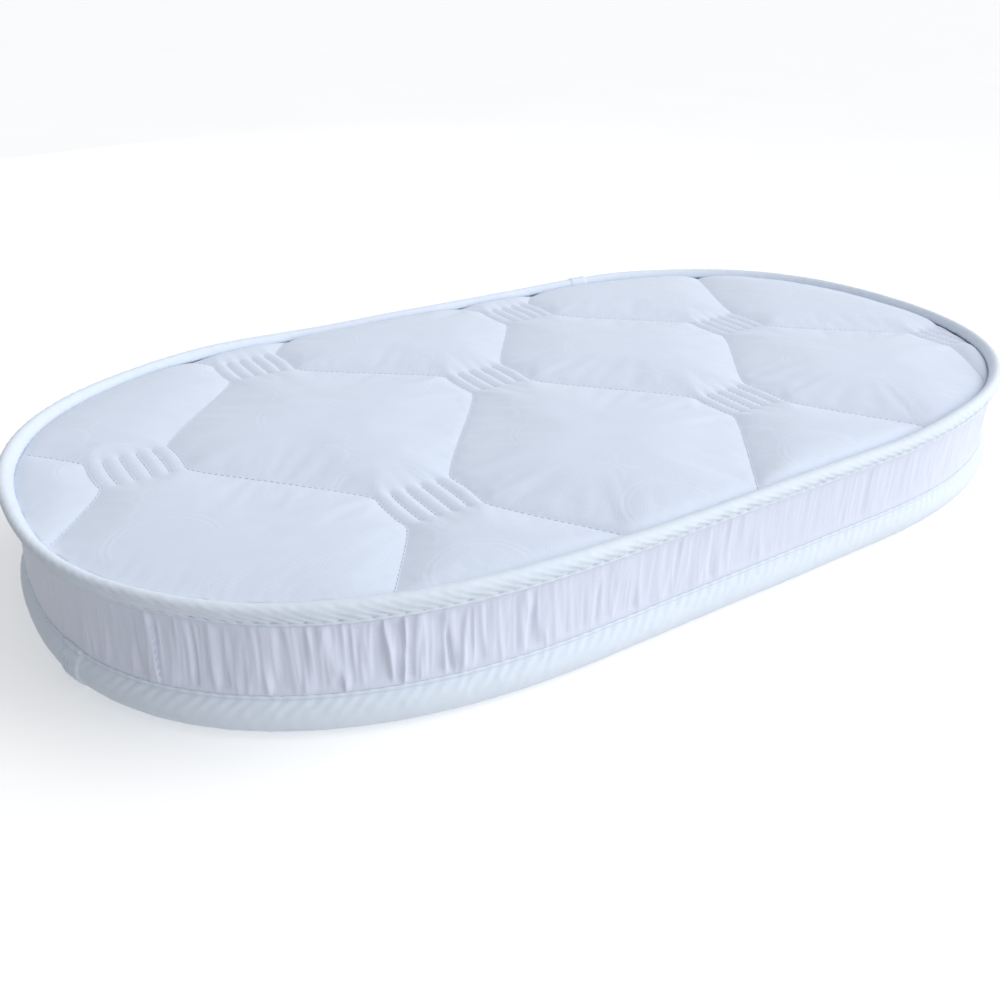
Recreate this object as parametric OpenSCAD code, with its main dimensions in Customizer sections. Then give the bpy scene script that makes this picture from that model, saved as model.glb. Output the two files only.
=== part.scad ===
// Oval mattress for a baby's cradle or crib: a foam core in a sewn cover with a quilted
// top and underside, a gathered border and two rolled edges bound in tape.
// Millimetres, +Z up. The origin is the middle of the underside, and +X runs along the length.

/* [Outline] */
// Length over the rolled edges
length = 750; // [650:10:900]
// Width over the rolled edges
width = 410; // [360:10:480]
// Height over the rolled edges
height = 80; // [76:1:110]
// Straight stretch in the middle of each long side
straight = 224; // [160:4:260]
// Fullness of the round ends: 2 is an ellipse, more is squarer
fullness = 2.34; // [2:0.02:2.8]

/* [Taped edges] */
// Width of the rolled edge, over its tape
roll_width = 9.2; // [8.8:0.2:12]
// Height of the rolled edge, over its tape
roll_height = 18.4; // [18:0.2:20]
// Thickness of the binding tape
tape_t = 1.2; // [0.8:0.1:1.4]
// How far the tape wraps round the roll, on the border's side, in degrees below level
tape_wrap = 70; // [66:1:74]
// Flat lip of tape below the roll, where it is sewn to the border
tape_lip = 2.5; // [1.5:0.1:2.8]
// Length of the lap where the tape's two ends meet
lap_length = 16; // [10:1:18]
// Thickness of the seam threads
thread_t = 0.8; // [0.5:0.1:1]

/* [Border] */
// How far the border's face lies inside the outline where it meets the tapes
border_inset = 6.4; // [6.2:0.1:7]
// How much further in it lies at mid height
border_hollow = 2.2; // [0:0.1:3]
// Thickness of the gathered border fabric
border_t = 0.8; // [0.5:0.1:1]
// Thickness of the padded backing behind it
border_backing_t = 1.6; // [1:0.1:2]

/* [Quilting] */
// Distance between neighbouring rows of gathered patches, along the length
quilt_step_x = 125; // [110:5:150]
// The same, across the width
quilt_step_y = 125; // [110:5:150]
// Place along the length of the middle patch
quilt_x = -47; // [-60:1:60]
// Place across the width of the middle patch
quilt_y = 29; // [-60:1:60]
// Size of a gathered patch along the length
patch_w = 50; // [40:1:60]
// Size of a gathered patch across the width
patch_d = 35; // [25:1:45]
// Number of stitched lines in a patch
patch_lines = 6; // [4:1:8]
// Width of a quilting groove
groove_w = 3; // [2:0.5:4]

/* [Hidden] */

// Colours, as the cloth is: a cool white, with the foam and the hidden layers told apart
ticking_colour = "#dfe6f2";
border_colour = "#d6dcea";
tape_colour = "#eaeff8";
thread_colour = "#c8cfdd";
wadding_colour = "#f6f6f2";
backing_colour = "#cfd4da";
foam_colour = "#efe6c4";

half_s = straight / 2;
half_w = width / 2;
end_a = length / 2 - half_s;
// Steps round each half of the outline
end_steps = 30;
// Air left between neighbouring layers
gap = 0.1;

// Heights of the faces between the layers of the quilted panels, measured in from the roll's
// outermost level. A panel's field is the flat middle, its neck is where it enters the roll.
ticking_t = 1.6;
groove_t = 1;
top_field = 3;
top_wadding_t = 5.5;
bottom_wadding_t = 3;
backing_t = 0.5;
neck_depth = 11.9;
neck_ticking_t = 1;
neck_wadding_t = 1.3;
field_inset = 22;
neck_inset = 9.6;
neck_end = 6.6;
slope_steps = 3;
border_steps = 4;
border_margin = 15.5;
hollow_margin = 18;
core_margin = 22;
filler_side_gap = 0.8;
filler_foot_gap = 2.6;
filler_lift = 2.2;
closing_margin = 21;

// Half the roll's width and height, and the height of its middle
roll_a = roll_width / 2;
roll_b = roll_height / 2;
roll_z = height - roll_b;
// The same for the filler inside it, which leaves room for the panel below
filler_a = roll_a - tape_t - filler_side_gap;
filler_b = roll_b - tape_t - filler_foot_gap;
filler_z = roll_z + filler_lift;
// Angles round the roll, from the lip over the top to the tape's edge on the panel's side
tape_angles = [-tape_wrap, -tape_wrap / 2, 0, 30, 60, 90, 120, 150, 190];
// Those that a lap covers, and its closing stitches
lap_angles = [-tape_wrap, -tape_wrap / 2, 0, 30, 60];
tack_angles = [-tape_wrap / 2, 0, 30];

// Where the border and the two tapes are closed, as the outline's corner before the place
border_close_at = 51;
top_lap_at = 28;
bottom_lap_at = 48;
// Spacing of a lap's closing stitches
tack_step = 4;

function signed_power(v, p) = sign(v) * pow(abs(v), p);

// A point of one round end, at angle t, moved inward by d. side is 1 on the right, -1 on the left.
function end_point(t, d, side) =
    let (
        across = pow(abs(cos(t)), 2 / fullness),
        along = signed_power(sin(t), 2 / fullness),
        nx = pow(abs(cos(t)), 2 - 2 / fullness) / end_a,
        ny = signed_power(sin(t), 2 - 2 / fullness) / half_w,
        n = norm([nx, ny])
    )
    [side * (half_s + end_a * across - d * nx / n), half_w * along - d * ny / n];

// The whole outline, anticlockwise from above, moved inward by d.
function outline(d) = concat(
    [for (k = [0:end_steps]) end_point(-90 + 180 * k / end_steps, d, 1)],
    [for (k = [0:end_steps]) end_point(90 - 180 * k / end_steps, d, -1)]
);

function lift(points, z) = [for (p = points) [p[0], p[1], z]];

// Side faces between rings of n points: rings k and k + 1, and from the last back to the
// first if closed.
function band_faces(n, m, closed) = [
    for (k = [0:m - (closed ? 1 : 2)], i = [0:n - 1])
    let (
        a = k * n + i,
        b = k * n + (i + 1) % n,
        c = ((k + 1) % m) * n + (i + 1) % n,
        d = ((k + 1) % m) * n + i
    )
    each [[a, d, c], [a, c, b]]
];

// A closed solid from rings of the outline. Each entry of the profile is [inset, height]. It
// starts with the underside's flat middle and ends with the top's.
module panel_solid(profile) {
    n = 2 * (end_steps + 1);
    m = len(profile);
    polyhedron(
        [for (p = profile) each lift(outline(p[0]), p[1])],
        concat(
            [[for (i = [0:n - 1]) i]],
            band_faces(n, m, false),
            [[for (i = [n - 1:-1:0]) (m - 1) * n + i]]
        )
    );
}

// A closed ring that runs all round the outline, with the profile [inset, height] as its section.
module ring_solid(profile) {
    polyhedron(
        [for (p = profile) each lift(outline(p[0]), p[1])],
        band_faces(2 * (end_steps + 1), len(profile), true)
    );
}

// A triangle of the cap at end e of a ring piece, from three points of its section.
function strip_cap(a, b, c, e) = e == 0 ? [2 * a, 2 * c, 2 * b] : [2 * a + 1, 2 * b + 1, 2 * c + 1];

// A short piece of such a ring, on the flat between corners k and k + 1 of the outline. It runs
// along the middle of that flat, shifted by shift, for the given run. Its section is a strip:
// a row of points on one side, and as many back on the other.
module ring_piece(profile, k, run, shift = 0) {
    m = len(profile);
    polyhedron(
        [
            for (p = profile)
            let (a = outline(p[0])[k], b = outline(p[0])[k + 1], way = (b - a) / norm(b - a))
            each lift([for (s = [-1, 1]) (a + b) / 2 + (shift + s * run / 2) * way], p[1])
        ],
        concat(
            [
                for (i = [0:m - 1])
                let (a = 2 * i, d = 2 * ((i + 1) % m))
                each [[a, d, d + 1], [a, d + 1, a + 1]]
            ],
            [for (i = [0:m / 2 - 2], e = [0, 1]) strip_cap(i, i + 1, m - 2 - i, e)],
            [for (i = [0:m / 2 - 2], e = [0, 1]) strip_cap(i, m - 2 - i, m - 1 - i, e)]
        )
    );
}

// Points on an ellipse in the section, at each of the angles: 0 points out of the mattress
// and 90 up.
function arc(inset, z, a, b, angles) = [for (t = angles) [inset - a * cos(t), z + b * sin(t)]];

// The same on the roll, out by a distance from the tape's face.
function roll_arc(out, angles) = arc(roll_a, roll_z, roll_a + out, roll_b + out, angles);

// Turns a section at the top edge into the matching one at the bottom edge.
function flip(profile) = [for (k = [len(profile) - 1:-1:0]) [profile[k][0], height - profile[k][1]]];

// One face between two layers of a quilted panel: from the field down into the roll's neck.
function slope(field, neck) = concat(
    [
        for (k = [0:slope_steps])
        let (t = k / slope_steps, s = t * t * (3 - 2 * t))
        [field_inset + (neck_inset - field_inset) * t, field + (neck - field) * s]
    ],
    [[neck_end, neck]]
);

function reversed(list) = [for (k = [len(list) - 1:-1:0]) list[k]];

// The section of a layer between an upper and a lower face, for the top edge.
function layer(upper, lower) = concat(slope(lower[0], lower[1]), reversed(slope(upper[0], upper[1])));

// Upper and lower faces of the layers as [field height, neck height], from the outside in.
function layer_faces(field, wadding) =
    let (
        top = height - field,
        neck = height - neck_depth
    )
    [
        [top, neck],
        [top - ticking_t, neck - neck_ticking_t],
        [top - ticking_t - gap, neck - neck_ticking_t - gap],
        [top - ticking_t - wadding, neck - neck_ticking_t - neck_wadding_t],
        [top - ticking_t - wadding - gap, neck - neck_ticking_t - neck_wadding_t - gap],
        [top - ticking_t - wadding - backing_t, neck - neck_ticking_t - neck_wadding_t - backing_t]
    ];

top_faces = layer_faces(top_field, top_wadding_t);
bottom_faces = layer_faces(0, bottom_wadding_t);

// The core fills what the layers leave: its two long edges are drawn in behind the rolls.
core_side = border_inset + border_hollow + border_t + border_backing_t + 3 * gap;
function core_shoulder(faces) = [
    [core_side, height - core_margin],
    for (k = [slope_steps - 1:-1:0]) let (p = slope(faces[5][0] - gap, faces[5][1] - gap)[k]) p
];

// The border's face hollows in between the tapes: how far in at height z.
function hollow(z) =
    let (reach = height / 2 - hollow_margin, t = min(1, abs(z - height / 2) / reach))
    border_inset + border_hollow * (1 - t * t);

// Section of the border or of a layer behind it: start is how far behind the face it begins,
// and margin how far it stays from the top and the underside.
function border_profile(start, thick, margin) =
    let (zs = [for (k = [0:border_steps]) margin + (height - 2 * margin) * k / border_steps])
    concat(
        [for (z = zs) [hollow(z) + start, z]],
        [for (z = reversed(zs)) [hollow(z) + start + thick, z]]
    );

lip_way = [roll_a * sin(tape_wrap), -roll_b * cos(tape_wrap)];
lip = tape_lip * lip_way / norm(lip_way);
lip_out = [lip_way[1], -lip_way[0]] / norm(lip_way);

// The tape's section at the top edge, open towards the inside, where the layers enter.
function tape_profile() = concat(
    [roll_arc(-tape_t, [-tape_wrap])[0] + lip, roll_arc(0, [-tape_wrap])[0] + lip],
    roll_arc(0, tape_angles),
    roll_arc(-tape_t, reversed(tape_angles))
);

// A curved strip that lies on the roll, from out0 to out1 away from the tape's face.
function strip_profile(out0, out1, angles) =
    concat(roll_arc(out1, angles), roll_arc(out0, reversed(angles)));

// The lap is a second layer of tape on the outer side of the roll.
function lap_profile() = strip_profile(gap, gap + tape_t, lap_angles);

// The filler's section, a little narrower than the roll.
function filler_profile() = arc(roll_a, filler_z, filler_a, filler_b, [0:45:315]);

// A seam thread's section: a small lozenge beside the point at inset and height.
function thread_profile(inset, z) = arc(inset, z, thread_t / 2, thread_t / 2, [0:90:270]);

function needle_profile() =
    let (p = roll_arc(0, [-tape_wrap])[0] + lip / 2 + (thread_t / 2 + gap) * lip_out)
    thread_profile(p[0], p[1]);
function looper_profile() = thread_profile(roll_width + thread_t / 2 + gap, roll_z);

// The short stitches that close a lap, side by side across the tape, on top of it.
module tack(profile, at) {
    for (k = [-1:1])
        ring_piece(profile, at, thread_t, k * tack_step);
}

function tack_profile() =
    let (out = 2 * gap + tape_t)
    strip_profile(out, out + thread_t, tack_angles);

// A flat line of width w from p to q.
module stroke(p, q, w) {
    v = q - p;
    translate(p)
        rotate(atan2(v[1], v[0]))
            translate([-w / 2, -w / 2])
                square([norm(v) + w, w]);
}

// The stitched lines of one patch: up one line, across, down the next, and so on.
module patch_lines_2d(c, w) {
    pitch = patch_w / (patch_lines - 1);
    for (k = [0:patch_lines - 1]) {
        x = c[0] - patch_w / 2 + k * pitch;
        side = k % 2 == 0 ? 1 : -1;
        stroke([x, c[1] - patch_d / 2], [x, c[1] + patch_d / 2], w);
        if (k < patch_lines - 1)
            stroke([x, c[1] + side * patch_d / 2], [x + pitch, c[1] + side * patch_d / 2], w);
    }
}

function patch_centre(i, j) = [quilt_x + i * quilt_step_x, quilt_y + j * quilt_step_y];

// Every patch with its diagonal seams, on a chequerboard of steps, kept inside the field.
module quilt_lines_2d(w) {
    intersection() {
        polygon(outline(field_inset + 1));
        union() {
            for (i = [-3:3], j = [-2:2])
                if ((i + j) % 2 == 0) {
                    c = patch_centre(i, j);
                    across = [quilt_step_x - patch_w, quilt_step_y - patch_d];
                    if (abs(c[0]) < length / 2 && abs(c[1]) < half_w)
                        patch_lines_2d(c, w);
                    for (s = [-1, 1]) {
                        corner = c + [patch_w / 2, s * patch_d / 2];
                        stroke(corner, corner + [across[0], s * across[1]], w);
                    }
                }
        }
    }
}

// A quilted face: a sloping edge that enters the roll, a flat middle and grooves in it.
module quilted_panel(profile, base_z, face_z) {
    ring_solid(profile);
    translate([0, 0, base_z])
        linear_extrude(ticking_t - groove_t)
            polygon(outline(field_inset));
    translate([0, 0, face_z])
        linear_extrude(groove_t)
            difference() {
                polygon(outline(field_inset));
                quilt_lines_2d(groove_w);
            }
}

module foam_core() {
    color(foam_colour)
        panel_solid(concat(
            flip(core_shoulder(bottom_faces)),
            core_shoulder(top_faces)
        ));
}

module top_backing() {
    color(backing_colour) panel_solid(layer(top_faces[4], top_faces[5]));
}

module top_wadding() {
    color(wadding_colour) panel_solid(layer(top_faces[2], top_faces[3]));
}

module top_panel() {
    color(ticking_colour)
        quilted_panel(
            layer(top_faces[0], top_faces[1]),
            height - top_field - ticking_t,
            height - top_field - groove_t
        );
}

module top_quilting_thread() {
    color(thread_colour)
        translate([0, 0, height - top_field - groove_t + gap])
            linear_extrude(thread_t)
                quilt_lines_2d(1);
}

module bottom_backing() {
    color(backing_colour) panel_solid(flip(layer(bottom_faces[4], bottom_faces[5])));
}

module bottom_wadding() {
    color(wadding_colour) panel_solid(flip(layer(bottom_faces[2], bottom_faces[3])));
}

module bottom_panel() {
    color(ticking_colour)
        quilted_panel(flip(layer(bottom_faces[0], bottom_faces[1])), groove_t, 0);
}

module bottom_quilting_thread() {
    color(thread_colour)
        translate([0, 0, groove_t - gap - thread_t])
            linear_extrude(thread_t)
                quilt_lines_2d(1);
}

module border_backing() {
    color(backing_colour) ring_solid(border_profile(border_t + gap, border_backing_t, border_margin));
}

module border_band() {
    color(border_colour) ring_solid(border_profile(0, border_t, border_margin));
}

module top_edge_filler() {
    color(wadding_colour) ring_solid(filler_profile());
}

module bottom_edge_filler() {
    color(wadding_colour) ring_solid(flip(filler_profile()));
}

module top_tape() {
    color(tape_colour) {
        ring_solid(tape_profile());
        ring_piece(lap_profile(), top_lap_at, lap_length);
    }
}

module bottom_tape() {
    color(tape_colour) {
        ring_solid(flip(tape_profile()));
        ring_piece(flip(lap_profile()), bottom_lap_at, lap_length);
    }
}

module border_closing_thread() {
    color(thread_colour)
        ring_piece(
            border_profile(-thread_t - gap, thread_t, closing_margin),
            border_close_at,
            thread_t
        );
}

module top_needle_thread() {
    color(thread_colour) ring_solid(needle_profile());
}

module top_looper_thread() {
    color(thread_colour) ring_solid(looper_profile());
}

module bottom_needle_thread() {
    color(thread_colour) ring_solid(flip(needle_profile()));
}

module bottom_looper_thread() {
    color(thread_colour) ring_solid(flip(looper_profile()));
}

module top_tape_tack() {
    color(thread_colour) tack(tack_profile(), top_lap_at);
}

module bottom_tape_tack() {
    color(thread_colour) tack(flip(tack_profile()), bottom_lap_at);
}

foam_core();
top_backing();
top_wadding();
top_panel();
top_quilting_thread();
bottom_backing();
bottom_wadding();
bottom_panel();
bottom_quilting_thread();
border_backing();
border_band();
border_closing_thread();
top_edge_filler();
bottom_edge_filler();
top_tape();
bottom_tape();
top_needle_thread();
top_looper_thread();
bottom_needle_thread();
bottom_looper_thread();
top_tape_tack();
bottom_tape_tack();
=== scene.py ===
"""Looks of an oval crib mattress: quilted panels, gathered border and rolled, taped edges.

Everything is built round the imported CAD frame, in metres. Shapes are worked out in
millimetres, as the part's own dimensions are, and turned into metres when a mesh is made.
"""

import math
from collections import namedtuple

import bpy
import numpy as np
from mathutils import Matrix, Vector
from mathutils.geometry import delaunay_2d_cdt
from mathutils.kdtree import KDTree


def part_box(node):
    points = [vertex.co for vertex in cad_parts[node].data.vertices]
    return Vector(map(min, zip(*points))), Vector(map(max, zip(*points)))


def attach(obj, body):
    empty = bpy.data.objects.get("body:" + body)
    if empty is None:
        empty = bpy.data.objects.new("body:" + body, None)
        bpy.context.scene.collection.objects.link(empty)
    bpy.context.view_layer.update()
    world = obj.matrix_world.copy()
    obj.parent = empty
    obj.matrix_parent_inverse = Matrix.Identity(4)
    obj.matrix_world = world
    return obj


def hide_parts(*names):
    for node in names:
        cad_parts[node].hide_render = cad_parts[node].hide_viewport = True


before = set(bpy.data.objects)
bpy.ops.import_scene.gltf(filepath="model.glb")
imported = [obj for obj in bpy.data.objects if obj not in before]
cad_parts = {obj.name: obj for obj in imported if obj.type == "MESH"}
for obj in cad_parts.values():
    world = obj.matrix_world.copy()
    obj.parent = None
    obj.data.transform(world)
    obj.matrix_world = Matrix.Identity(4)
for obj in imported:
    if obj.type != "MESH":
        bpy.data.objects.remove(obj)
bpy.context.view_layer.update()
scene = bpy.context.scene

MM = 0.001

# ------------ sizes, in millimetres

# From the upper tape, whose lap stands out only on the rear side
tape_low, tape_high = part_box("top_tape")
HALF_LENGTH, HALF_WIDTH, HEIGHT = -tape_low.x / MM, -tape_low.y / MM, tape_high.z / MM
STRAIGHT = 224  # straight stretch of each long side
FULLNESS = 2.34  # of the round ends: 2 is an ellipse

# A rolled edge: half its width and height over the tape, how far below level the seam that
# closes it lies (in degrees), and how far the lip of tape below that seam leans inwards.
# The lower roll is pressed wide by the mattress's weight.
Roll = namedtuple("Roll", "half_width half_height wrap lean")
UPPER_ROLL = Roll(4.6, 6.5, 55, 1.3)
LOWER_ROLL = Roll(8.0, 10.6, 66, -0.1)
SIDES = (("top", UPPER_ROLL, False), ("bottom", LOWER_ROLL, True))
ROLL_MIDDLE = HEIGHT - UPPER_ROLL.half_height  # height of the upper roll's widest line
TAPE_LIP = 2.9  # width of the lip of tape below the edge seam
SEAM_ABOVE_EDGE = TAPE_LIP + 0.7  # the edge seam's distance from the tape's turned-in edge
TAPE_T = 0.9
LAP_RISE = 0.95  # how far the lap of a tape's two ends stands out
STITCH_PITCH = 8  # of the edge seams' long stitches
HALF_STITCH = 2.6  # half the length of one
EDGE_THREAD = 0.38  # radius of the edge seams' thread
FINE_THREAD = 0.25  # radius of the thread that tacks a lap down

BORDER_INSET = 5.8  # of the border's plain face at its seams
BORDER_HOLLOW = 0.6  # how much further in it lies at mid height
BORDER_MARGIN = 15.5  # height at which the border starts, behind the lower tape
BORDER_TUCKED = 6.5  # how much further up it goes behind the upper, narrower tape
BORDER_T = 0.5
BORDER_FULLNESS = 1.15  # cloth for each length of outline that it is gathered to
BACKING_INSET = 7.05  # the deepest that a fold may lie, just over the border's backing
BACKING_HOLLOW = 2.2
HOLLOW_MARGIN = 18  # above and below the hollow stretch of border and backing

QUILT_STEP = 125  # between the lattice's columns and between its rows
QUILT_X, QUILT_Y = -47, 29  # the lattice's patch (0, 0)
PATCH_W, PATCH_D = 50, 35
PATCH_LINES = 6
PANEL_T = 0.8
PANEL_END = 7.6  # inset where the panel ends, inside the roll's seam
PANEL_END_Z = 68.3
FIELD_INSET = 19  # inset from which the panel is level with its field
SEAM_Z = 71.6  # height of the quilting seams
PILLOW_RISE = 4.8
PILLOW_SPREAD = 10  # how quickly a pillow rises beside its seams
PRESSED_SEAM = 2.6  # height of the underside's seams over the floor it is pressed on
PRESSED_FLEECE = 3.4  # height of the pressed wadding's lower side

# How far each patch lies from its place in the lattice, as the cloth moves under the needle
WANDER = {
    (-1, -1): (2, -8),
    (0, 0): (8, 9),
    (1, -1): (11, 5),
    (-2, 0): (-1, -4),
    (2, 0): (0, 5),
    (1, 1): (-11, 0),
    (-1, 1): (-4, -4),
    (-2, -2): (26, 0),
    (-3, -1): (14, 0),
    (0, -2): (-7, -30),
    (2, -2): (-1, -20),
    (3, 1): (-18, 30),
    (3, -1): (13, 12),
}


# ------------ the outline


def noise(u, v, seed, repeat=0):
    """Smooth noise from -1 to 1, with one bump a unit. It repeats along u after repeat units."""
    u, v = np.broadcast_arrays(np.asarray(u, float), np.asarray(v, float))
    rows = int(repeat) or 1024
    table = np.random.default_rng(seed).uniform(-1, 1, (rows, 64))
    iu, iv = np.floor(u).astype(int), np.floor(v).astype(int)
    fu, fv = (f * f * f * (f * (f * 6 - 15) + 10) for f in (u - iu, v - iv))

    def row(k):
        near, far = (table[(iu + step) % rows, (iv + k) % 64] for step in (0, 1))
        return near * (1 - fu) + far * fu

    return row(0) * (1 - fv) + row(1) * fv


def smooth(x, low, high):
    """0 below low, 1 above high and a smooth step between."""
    t = np.clip((x - low) / (high - low), 0, 1)
    return t * t * (3 - 2 * t)


def dense_outline():
    """Points close together round the outline, anticlockwise, with their outward normals."""
    t = np.radians(np.linspace(-90, 90, 4001))
    half_s = STRAIGHT / 2
    end_a = HALF_LENGTH - half_s
    c, s = np.abs(np.cos(t)), np.sin(t)
    x = half_s + end_a * c ** (2 / FULLNESS)
    y = HALF_WIDTH * np.sign(s) * np.abs(s) ** (2 / FULLNESS)
    nx = c ** (2 - 2 / FULLNESS) / end_a
    ny = np.sign(s) * np.abs(s) ** (2 - 2 / FULLNESS) / HALF_WIDTH
    n = np.hypot(nx, ny)
    right = np.stack([x, y, nx / n, ny / n], 1)
    return np.concatenate([right, -right, right[:1]])


def run_of(points):
    """Distance along a row of flat points, from its first point to each."""
    return np.concatenate([[0], np.cumsum(np.hypot(*np.diff(points, axis=0).T))])


def along(at, run, points):
    """Flat points at the distances at along a row of points."""
    return np.stack([np.interp(at, run, points[:, k]) for k in (0, 1)], -1)


DENSE = dense_outline()
ALONG = run_of(DENSE[:, :2])
PERIMETER = ALONG[-1]


def outline(s):
    """Point and outward normal of the outline, s millimetres along it."""
    found = [np.interp(np.mod(s, PERIMETER), ALONG, DENSE[:, k]) for k in range(4)]
    point, normal = np.stack(found[:2], -1), np.stack(found[2:], -1)
    return point, normal / np.linalg.norm(normal, axis=-1, keepdims=True)


def place_of(node):
    """How far along the outline a CAD node's middle lies."""
    low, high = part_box(node)
    middle = np.array((low + high) / 2)[:2] / MM
    return ALONG[np.argmin(np.hypot(*(DENSE[:, :2] - middle).T))]


def apart(s, at):
    """Signed distance along the outline from a place."""
    return np.mod(s - at + PERIMETER / 2, PERIMETER) - PERIMETER / 2


def even_steps(step):
    """Places all round the outline, about step apart."""
    count = round(PERIMETER / step)
    return np.arange(count) * PERIMETER / count


def stations(s, inset, z):
    """Points along the outline, at an inset and a height, and the outward directions there."""
    point, normal = outline(s)
    flat = point - inset[..., None] * normal
    height = np.broadcast_to(z, flat.shape[:-1])[..., None]
    out = np.concatenate([normal, 0 * normal[..., :1]], -1)
    return np.concatenate([flat, height], -1), out


BORDER_CLOSES_AT = place_of("border_closing_thread")
TOP_LAP_AT = place_of("top_tape_tack")
BOTTOM_LAP_AT = place_of("bottom_tape_tack")


# ------------ meshes


def new_object(name, points, faces, smooth_faces=True):
    """A mesh object from points in millimetres."""
    mesh = bpy.data.meshes.new(name)
    mesh.from_pydata((np.asarray(points) * MM).tolist(), [], faces)
    mesh.update()
    mesh.polygons.foreach_set("use_smooth", [smooth_faces] * len(mesh.polygons))
    obj = bpy.data.objects.new(name, mesh)
    scene.collection.objects.link(obj)
    return obj


def grid_faces(rows, columns, closed_rows, closed_columns=False):
    """Quads of a grid whose points are numbered row by row."""
    r = np.arange(rows if closed_rows else rows - 1)[:, None]
    c = np.arange(columns if closed_columns else columns - 1)
    corners = ((0, 0), (1, 0), (1, 1), (0, 1))
    found = [(r + dr) % rows * columns + (c + dc) % columns for dr, dc in corners]
    return np.stack([corner.ravel() for corner in found], 1)


def ring_object(name, s, across, points):
    """A band that runs all round the outline: points[i, j] is at s[i] along it and across[j]
    over it. Its UV map holds both, in metres, so that a weave can follow the band."""
    rows, columns = points.shape[:2]
    faces = grid_faces(rows, columns, True)
    obj = new_object(name, points.reshape(-1, 3), faces.tolist())
    u = np.append(s, PERIMETER)
    i, j = faces // columns, faces % columns
    wrapped = (i == 0) & (i.max(1, keepdims=True) == rows - 1)
    uv = np.stack([u[np.where(wrapped, rows, i)], np.asarray(across)[j]], -1) * MM
    layer = obj.data.uv_layers.new(name="band")
    layer.data.foreach_set("uv", uv.astype(np.float32).ravel())
    return obj


def thicken(obj, thickness):
    """Gives a sheet its thickness, on the side away from its normals."""
    solid = obj.modifiers.new("thickness", "SOLIDIFY")
    solid.thickness = thickness * MM
    solid.offset = -1
    solid.use_even_offset = False
    return obj


def threads(name, paths, normals, radius, sides=6):
    """Short runs of thread: paths[k, i] are the points of run k, and each end is tapered."""
    runs, steps = paths.shape[:2]
    way = np.gradient(paths, axis=1)
    way /= np.linalg.norm(way, axis=-1, keepdims=True)
    side = np.cross(way, normals)
    side /= np.linalg.norm(side, axis=-1, keepdims=True)
    up = np.cross(side, way)
    q = np.linspace(-1, 1, steps)
    girth = radius * np.maximum(1 - np.abs(q) ** 4, 0.05) ** 0.5
    angle = np.arange(sides) * 2 * np.pi / sides
    ring = (
        np.cos(angle)[:, None] * side[:, :, None, :] + np.sin(angle)[:, None] * up[:, :, None, :]
    ) * girth[:, None, None]
    points = (paths[:, :, None, :] + ring).reshape(-1, 3)
    tube = grid_faces(steps, sides, False, True)
    first = np.arange(runs)[:, None] * steps * sides
    quads = (first[..., None] + tube).reshape(-1, 4).tolist()
    cap = np.arange(sides)
    starts = (first + cap[None, :]).tolist()
    ends = (first + (steps - 1) * sides + cap[::-1]).tolist()
    return new_object(name, points, quads + starts + ends)


# ------------ materials


class Field:
    """A number at each point of a surface, in a material's nodes, with ordinary arithmetic."""

    def __init__(self, tree, socket):
        self.tree, self.socket = tree, socket

    def math(self, operation, *others):
        node = self.tree.nodes.new("ShaderNodeMath")
        node.operation = operation
        for slot_in, value in zip(node.inputs, (self, *others)):
            if isinstance(value, Field):
                self.tree.links.new(value.socket, slot_in)
            else:
                slot_in.default_value = value
        return Field(self.tree, node.outputs[0])

    def __add__(self, other):
        return self.math("ADD", other)

    def __sub__(self, other):
        return self.math("SUBTRACT", other)

    def __mul__(self, other):
        return self.math("MULTIPLY", other)

    def sine(self):
        return self.math("SINE")

    def most(self, other):
        return self.math("MAXIMUM", other)

    def size(self):
        return self.math("ABSOLUTE")

    def step(self, low, high):
        """0 at low, 1 at high and smooth between."""
        node = self.tree.nodes.new("ShaderNodeMapRange")
        node.interpolation_type = "SMOOTHSTEP"
        self.tree.links.new(self.socket, node.inputs["Value"])
        node.inputs["From Min"].default_value = low
        node.inputs["From Max"].default_value = high
        return Field(self.tree, node.outputs["Result"])


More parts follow.
